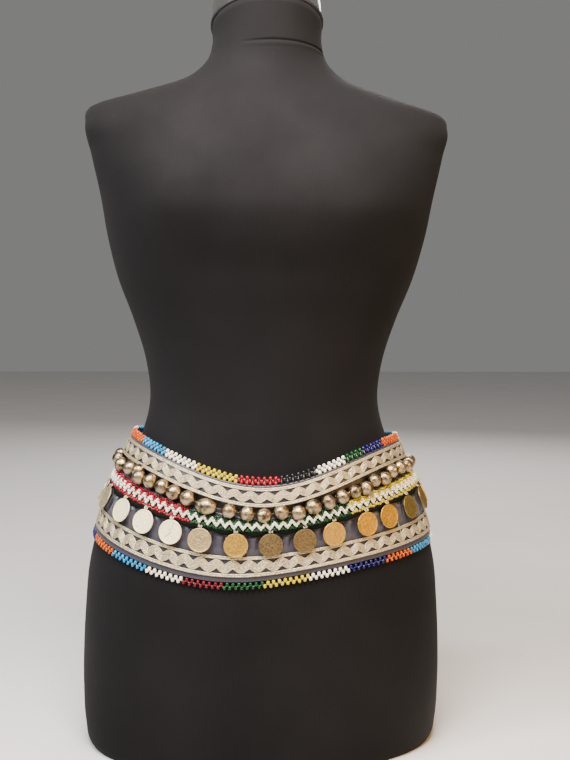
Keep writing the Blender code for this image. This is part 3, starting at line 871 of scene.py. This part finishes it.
def bead_mesh(name, node, beads):
    """One mesh of many beads. Each is (middle, direction of its hole, radius, length, colour)."""
    middle, axis, radius, length = (np.array([bead[part] for bead in beads]) for part in range(4))
    axis = unit(axis)
    side = unit(np.cross(axis, np.array(BEAD_AWAY)))
    along, out = np.array(BEAD_PROFILE).T[..., None]
    turn = whole_turn(BEAD_SIDES)[None, :]
    local = np.stack([along + 0 * turn, out * np.cos(turn), out * np.sin(turn)], -1).reshape(-1, 3)
    size = np.stack([length, radius, radius], -1)[:, None]
    basis = np.stack([axis, side, np.cross(axis, side)], 1)
    points = middle[:, None] + np.einsum("bij,bjk->bik", local[None] * size, basis)
    one = grid_faces(len(BEAD_PROFILE), BEAD_SIDES, wrap_rows=True, wrap_columns=True)
    faces = (one[None] + (np.arange(len(beads)) * len(local))[:, None, None]).reshape(-1, 4)
    made = new_mesh(name, points, faces)
    colors = np.repeat([BEAD_NAMES.index(bead[4]) for bead in beads], len(one))
    made.data.polygons.foreach_set("material_index", colors.astype(np.int32))
    face_out(made)
    dress(made, glass, [node])


def edge_beads(name, node, row, way, runs, picot):
    """Picots along an edge: slanted beads that meet at a tip, in zigzag."""
    pitch, jitter = 0.0051, 0.0002
    angles = trim_angles(row, 2 * round(trim_length(row) / pitch) + 1)
    beads = []
    rng = random.Random(len(name))
    for step, angle in enumerate(angles):
        color = run_color(runs, angle)
        here, out, down, across = frame_at(angle, row)
        here = here - CLOTH_WALL / 4 * out
        lean = rng.choice((-1, 1))
        for far, slant, size, long, turn in picot:
            if step % 2 == turn:
                off = [rng.uniform(-jitter, jitter) for _ in range(3)]
                middle = here + way * (far + off[0]) * down + off[1] * out + off[2] * across
                axis = way * cos(slant) * down + lean * sin(slant) * across
                beads.append((middle, axis, size, long, color))
    bead_mesh(name, node, beads)
    add_thread(name + "_thread", np.array([bead[0] for bead in beads]), radius=0.00028)


ZIGZAG_BEADS = 6
ZIGZAG = (0.27, 0.42, 0.57, 0.71, 0.56, 0.41)  # share down the band of each white bead
BAND_ITEMS = (
    # step in the zigzag, share down the band, slant of the hole
    (0, 0.07, 0.2), (2, 0.12, -0.3), (4, 0.12, 0.3), (2, 0.28, 0.5), (4, 0.28, -0.5),
    (3, 0.42, 0), (1, 0.9, 0.5), (3, 0.94, -0.2), (5, 0.88, -0.4), (0, 0.78, 0.2),
)
WHITE_BEAD = (0.00142, 0.0022)  # radius, length
COLOR_BEAD = (0.0013, 0.0025)


def band_section(upper, lower, out):
    """Points over the band's rounded face from its upper edge down, and how far each lies."""
    arc, stand_off, least, most, square, steps = 0.0124, 0.0002, 0.0014, 0.0032, 0.7, 41
    width = np.linalg.norm(lower - upper)
    # The rise of a shallow arc over the width, from the arc's length.
    crown = sqrt(max(0, 0.375 * width * (arc - width)))
    crown = min(max(crown, least), most)
    share = np.linspace(0, 1, steps)[:, None]
    lift = stand_off + crown * (1 - (2 * share - 1) ** 2) ** square
    line = upper + share * (lower - upper) + lift * out
    length = run_length(line)
    return line, length / length[-1]


def bead_band():
    """A zigzag line of white beads between coloured ones, worked over a dark core."""
    period, zigzag_slant = 0.0077, 0.85
    middle_row = (BAND_TOP + BAND_END) / 2
    columns = ZIGZAG_BEADS * round(trim_length(middle_row) / period)
    rng = random.Random(3)
    share_jitter, side_jitter = 0.012, 0.00015
    beads = []
    for step, angle in enumerate(trim_angles(middle_row, columns + 1)):
        upper = frame_at(angle, BAND_TOP)[0]
        lower = frame_at(angle, BAND_END)[0]
        _, out, down, across = frame_at(angle, middle_row)
        line, length = band_section(upper, lower, out)
        color = run_color(BAND_RUNS, angle)
        turn = step % ZIGZAG_BEADS
        falling = 1 if turn < ZIGZAG_BEADS / 2 else -1
        items = [(ZIGZAG[turn], "white", zigzag_slant * falling)]
        items += [(share, color, slant) for own, share, slant in BAND_ITEMS if own == turn]
        for share, bead_color, slant in items:
            share = share + rng.uniform(-share_jitter, share_jitter)
            middle = np.array([np.interp(share, length, line[:, axis]) for axis in range(3)])
            middle = middle + rng.uniform(-side_jitter, side_jitter) * across
            white = bead_color == "white"
            middle = middle + (0.0003 if white else 0) * out
            axis = cos(slant) * across + sin(slant) * down
            beads.append((middle, axis, *(WHITE_BEAD if white else COLOR_BEAD), bead_color))
    bead_mesh("bead_band_beads", "bead_band", beads)
    band_felt_and_shadow(middle_row)


def band_felt_and_shadow(middle_row):
    """The dark felt that the band is sewn on. Its part below the beads is painted shadow: a dark
    sheet for the shade under the band.
    """
    fine = trim_angles(BAND_END, COIN_COUNT * 16 + 1)
    place = np.linspace(0, COIN_COUNT, len(fine))
    # How far the felt hangs below the beads, deeper between the coins: this dark part is painted
    # shadow under the band.
    below = 0.0042 * (0.85 + 0.25 * np.cos(TURN * place) + 0.1 * np.sin(7.3 * place))
    corners = (
        # row, stand-off, drop
        (BAND_TOP + 0.05, 0.0002, 0),
        (BAND_TOP + 0.1, 0.001, 0),
        (middle_row, 0.0013, 0),
        (BAND_END, 0.0011, 0),
        (BAND_END, 0.0014, below),
        (BAND_END, 0.0007, below),
        (BAND_END, 0.0002, 0),
    )
    made = ribbon("bead_band_felt_and_shadow", [strip_point(fine, *corner) for corner in corners])
    dress(made, [looks["dark_felt_and_shadow"]])


# ---- the coins
COIN_METALS = {
    # name: slot, then the colour, roughness, metallic and depth of the dark hollows
    "pale_silver": ("coin_silver", (1, 0.85, 0.5), 0.46, 0.3, 0.12),
    "grey_silver": ("coin_silver", (0.56, 0.48, 0.27), 0.42, 0.75, 0.34),
    "nickel": ("coin_bronze", (0.52, 0.38, 0.18), 0.44, 0.8, 0.36),
    "brass": ("coin_gold", (0.56, 0.34, 0.055), 0.42, 0.8, 0.4),
    "gold": ("coin_gold", (0.6, 0.33, 0.02), 0.4, 0.8, 0.4),
    "olive_brass": ("coin_bronze", (0.27, 0.19, 0.045), 0.44, 0.85, 0.46),
    "bronze": ("coin_bronze", (0.2, 0.14, 0.06), 0.46, 0.85, 0.46),
}
COIN_LOOKS = (
    # the metal of each coin from the closure round by the wearer's right hip
    "brass gold bronze brass pale_silver grey_silver grey_silver grey_silver pale_silver "
    "pale_silver pale_silver nickel brass bronze bronze brass gold gold olive_brass "
    "olive_brass gold brass gold pale_silver brass bronze gold brass"
).split()
# The relief's sizes are in mm.
COIN_RINGS = (
    0.02, 0.9, 1.8, 2.7, 3.6, 4.5, 5.3, 6, 6.6, 7.2, 7.8, 8.4, 9, 9.45, 9.8, 10.2, 10.5,
)
COIN_FIELD = 0.42
# height, place and width of the petals, the heart, the ring and the studs
STRUCK = ((0.26, 3.4, 1.5), (0.24, 0, 0.9), (0.16, 5.9, 0.35), (0.24, 7.7, 0.55))


def relief(radius, turn, number, back):
    """Height of a plain struck pattern: a rosette, its heart, a ring, studs and a worn rim."""
    rng, aside = random.Random(1000 + 2 * number + back), 0.35
    petals = rng.choice((5, 6, 8, 10, 12))
    studs = rng.choice((20, 24, 28, 32))
    start = rng.uniform(0, TURN)
    x = radius * np.cos(turn) - rng.uniform(-aside, aside)
    y = radius * np.sin(turn) - rng.uniform(-aside, aside)
    far = np.hypot(x, y)
    around = np.arctan2(y, x) + start
    wear = 0.75 + 0.25 * np.sin(turn * rng.choice((1, 2, 3)) + start)
    rosette, dots = (np.clip(np.cos(count * around), 0, 1) for count in (petals, studs))
    struck = sum(
        height * (pattern * hill(far - middle, width))
        for pattern, (height, middle, width) in zip((rosette, 1, 1, dots), STRUCK)
    )
    rim_height, inside, wander, soft = 0.32, 9.35, 0.25, 0.12
    rim = 1 / (1 + np.exp(-(radius - inside - wander * np.sin(turn + start)) / soft))
    return wear * struck + rim_height * rim


def coin_look(name, number):
    """A struck disc under a small soldered loop, in the coin's own axes."""
    turn, sunk, bevelled, edge_level = whole_turn(64), 0.02, 0.1, 0.45

    def ring(radius, level):
        return np.stack([radius * np.sin(turn), level + 0 * turn, radius * np.cos(turn)], -1)

    faces = []
    for back, way in enumerate((-1, 1)):
        rings = []
        for radius in COIN_RINGS:
            bevel = bevelled if radius == COIN_RINGS[-1] else 0
            height = COIN_FIELD + relief(radius, turn, number, back) - sunk
            rings.append(ring(radius, way * (height - bevel)))
        faces.append(rings)
    front, rear = faces
    edge = [ring(COIN_RADIUS / MM, level) for level in (-edge_level, edge_level)]
    points = np.array(front + edge + rear[::-1]) * MM
    points[..., 2] -= COIN_DROP
    return new_mesh(name, *joined([closed_grid(points), bail(BAIL_RADIUS, BAIL_WIRE * 0.8)]))


def bail(radius, wire):
    """A ring round the local X axis."""
    turn, around = whole_turn(20)[:, None], whole_turn(7)[None, :]
    far = radius + wire * np.cos(around)
    across = wire * np.sin(around) + 0 * turn
    return closed_grid(np.stack([across, far * np.sin(turn), -far * np.cos(turn)], -1))


def coin_places():
    """Each coin's angle, and the angle of its share of the strip."""
    edges = angles_along(BAND_END, COIN_COUNT + 1, CLOSURE_GAP / 2)
    places = []
    for number in range(1, COIN_COUNT + 1):
        middle = (edges[number - 1] + edges[number]) / 2
        radius = np.linalg.norm(strip_point(middle, BAND_END)[:2])
        shift = COIN_SHIFTS.get(number, 0) * MM / radius
        places.append((middle + shift, edges[number] - edges[number - 1]))
    return places


def bail_point(angle):
    return strip_point(angle, BAND_END, BAIL_LIFT, BAIL_DROP)


def coin_matrix(angle):
    """Where a coin's own axes lie: at its hinge, hanging against the strip below."""
    hinge = bail_point(angle)
    sideways = abs(sin(angle))
    tip_lift = TIP_LIFT_FRONT + (TIP_LIFT_SIDE - TIP_LIFT_FRONT) * sideways
    hang = unit(strip_point(angle, LOW_BRAID, tip_lift) - hinge)
    ahead = bail_point(angle + ANGLE_STEP) - hinge
    across = unit(ahead - np.dot(ahead, hang) * hang)
    inward = np.cross(-hang, across)
    turn = Matrix((across, inward, -hang)).transposed().to_4x4()
    return Matrix.Translation(hinge) @ turn


def coins():
    metals = {name: coin_material(name, *look) for name, (_, *look) in COIN_METALS.items()}
    for number, (angle, _) in enumerate(coin_places(), start=1):
        coin = f"coin_{number:02d}"
        made = coin_look(f"{coin}_struck", number)
        made.data.transform(coin_matrix(angle))
        face_out(made)
        metal = COIN_LOOKS[number - 1]
        dress(made, [metals[metal]], [coin], f"{coin}_swing")


SCRATCHED_COIN = 11
SCRATCHES = (
    # points across and up from the coin's middle, in mm, along each scratch
    ((2.6, 8.6), (2.3, 6.2), (1.6, 4.2), (1, 2.6), (0.2, 1.8)),
    ((1.8, 0.6), (0.6, -0.4), (-0.8, -1.9), (-2.6, -3.2), (-4.6, -4.6)),
    ((-1.6, 2.6), (-0.6, 2.1), (0.2, 2.5)),
)


def coin_scratches():
    """Dark, worn scratches on the face of one pale coin."""
    parts = []
    proud, width = 0.14, 0.00016
    for scratch in SCRATCHES:
        shares = np.linspace(0, len(scratch) - 1, 4 * len(scratch))
        across, up = (np.interp(shares, range(len(scratch)), way) for way in np.array(scratch).T)
        path = np.stack([across, -COIN_FIELD - proud + 0 * up, up], -1) * MM
        path[:, 2] -= COIN_DROP
        face = np.array([0, -1, 0]) + 0 * path
        side = np.cross(headings(path), face)
        parts.append(tube(path, width, width * 1.4, side, face))
    made = new_mesh("coin_scratches", *joined(parts))
    made.data.transform(coin_matrix(coin_places()[SCRATCHED_COIN - 1][0]))
    dress(made, [looks["tarnish"]], body=f"coin_{SCRATCHED_COIN:02d}_swing")


# ---- the loose end, the coins' thread and the hooks
LOOSE_END = (
    # angle in degrees, row, lift in mm
    (55.2, 6.55, 1.2), (55.6, 6.75, 2.4), (55.3, 6.95, 3), (55.8, 7.1, 2.8),
    (55.5, 7.25, 2.6), (56.1, 7.4, 2.4), (56, 7.5, 2.3),
)
PLATE_THICK = 0.0008
PLATE_CORNERS = ((-1, 0), (-1, 0.7), (-0.8, 1), (0.8, 1), (1, 0.7), (1, 0))


def loose_end():
    """A stray end of sewing thread over the lower braid."""
    path = [strip_point(radians(angle), row, lift * MM) for angle, row, lift in LOOSE_END]
    add_thread("loose_thread_end", np.array(path), radius=0.00022)


def coin_thread():
    """The thread that hangs the coins: along the band's lower edge and down through each loop."""
    held, under, dip_from, dip_to = 0.0011, -0.0012, 0.034, 0.05
    knots = []
    for middle, width in coin_places():
        before, after = (
            strip_point(middle + way * dip_from * width, BAND_END, held, under) for way in (-1, 1)
        )
        first, last = (bail_point(middle + way * dip_to * width) for way in (-1, 1))
        knots += [before, first, last, after]
    path = [
        knot + share * (after - knot)
        for knot, after in zip(knots, knots[1:])
        for share in (0, 0.25, 0.5, 0.75)
    ]
    path = np.array(path + [knots[-1]])
    add_thread("coin_thread_plied", path, radius=0.0005)
    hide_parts("coin_thread")


def hooks():
    """Stamped plates with rounded corners, each with a bent wire hook over the gap."""
    waist, waist_width, square, end, steps = 0.28, 0.22, 7, 0.04, 25
    shares = np.linspace(-1, 1, steps)
    half = HOOK_WIDTH / 2 * (1 - np.abs(shares) ** square) ** 0.5
    half = np.maximum(half * (1 - waist * hill(shares, waist_width)), HOOK_WIDTH * end)
    least, added, back, stand_off, legs_apart = 0.3, 0.62, 0.45, 0.0019, 0.0013
    bend = np.linspace(-1, 1, 31)
    legs = least + added * np.cos(bend * pi / 2)
    for number, row in enumerate(HOOK_ROWS, start=1):
        turn = HOOK_LENGTH / 2 / np.linalg.norm(strip_point(CLOSURE_ANGLE, row)[:2])
        angles = CLOSURE_ANGLE + turn * shares
        corners = [
            strip_point(angles, row, TRIM_GAP + lift * PLATE_THICK, side * half)
            for side, lift in PLATE_CORNERS
        ]
        plate = ribbon(f"hook_{number}_plate", corners)
        dress(plate, [looks["hook_steel"]], [f"hook_{number}"])
        legs_at = CLOSURE_ANGLE + turn * (legs - back)
        path = strip_point(legs_at, row, stand_off, bend * legs_apart)
        add_thread(f"hook_{number}_wire", path, radius=0.00035, look="hook_steel")


# ---- camera, light and floor
# The camera was fitted to the photo. Its columns are pixels of a frame 760 pixels high.
CAMERA_DISTANCE = 1.1
FOCAL_PIXELS = 1150.0
FRAME_HEIGHT = 760
MIDDLE_COLUMN = 285
AXIS_COLUMN = 264.5
CAMERA_HEIGHT = 0.414
CAMERA_TURN, CAMERA_PITCH, CAMERA_ROLL = (radians(turn) for turn in (-8, 3.73, 0.5))
SENSOR_HEIGHT = 24.0
LIGHTS = (
    # name, place, what it faces, size, power in watts, colour
    ("key", (-1.85, -0.95, 1.9), (0, 0, 0.3), 0.7, 75, (0.94, 0.97, 1)),
    ("warm", (1.3, -1.3, 1.1), (0, 0, 0.25), 0.9, 31, (1, 0.52, 0.12)),
    ("top", (-0.12, -0.5, 1.08), (0, 0, 0.54), 0.5, 35, (1, 0.93, 0.89)),
    ("back", (0.6, 2, 1.4), (0, 0, 0.3), 1.2, 24, (1, 0.98, 0.95)),
)


def camera():
    """The photo's camera: turned round the form's axis, pitched down and rolled."""
    aside = (MIDDLE_COLUMN - AXIS_COLUMN) / FOCAL_PIXELS * CAMERA_DISTANCE
    place = Matrix.Translation((aside, -CAMERA_DISTANCE, CAMERA_HEIGHT))
    around, pitch, roll = (
        Matrix.Rotation(turn, 4, axis)
        for turn, axis in ((CAMERA_TURN, "Z"), (TURN / 4 - CAMERA_PITCH, "X"), (CAMERA_ROLL, "Z"))
    )
    data = bpy.data.cameras.new("camera")
    data.sensor_fit = "VERTICAL"
    data.sensor_height = SENSOR_HEIGHT
    data.lens = FOCAL_PIXELS / FRAME_HEIGHT * SENSOR_HEIGHT
    made = add_object("camera", data)
    made.matrix_world = around @ place @ pitch @ roll
    bpy.context.scene.camera = made


def soft_light(name, place, aim, size, power, color):
    data = bpy.data.lights.new(name, "AREA")
    data.shape = "SQUARE"
    data.size = size
    data.energy = power
    data.color = color
    made = add_object(name, data)
    made.location = place
    made.rotation_euler = (Vector(aim) - Vector(place)).to_track_quat("-Z", "Y").to_euler()


def studio():
    world = bpy.data.worlds.new("studio")
    world.use_nodes = True
    background = world.node_tree.nodes["Background"]
    background.inputs["Color"].default_value = (0.92, 0.91, 0.9, 1)
    background.inputs["Strength"].default_value = 0.23
    bpy.context.scene.world = world
    for light in LIGHTS:
        soft_light(*light)
    corners = [(x, y, 0) for x, y in ((-6, -6), (6, -6), (6, 6), (-6, 6))]
    floor = new_mesh("floor", corners, [(0, 1, 2, 3)])
    floor.location.z = -0.0002
    floor.data.materials.append(looks["pale_floor"])


# ---- the whole
camera()
studio()
dress_form()
neck_pieces()
satin_strip()
for item in CORDS:
    cord(*item)
for item in WAVES:
    wave_braid(*item)
bells()
bead_band()
edge_beads("edge_beads_top", "bead_edge_top", 0, -1, TOP_RUNS, TOP_PICOT)
edge_beads("edge_beads_bottom", "bead_edge_bottom", LOW_EDGE, 1, BOTTOM_RUNS, BOTTOM_PICOT)
coin_thread()
coins()
coin_scratches()
loose_end()
hooks()
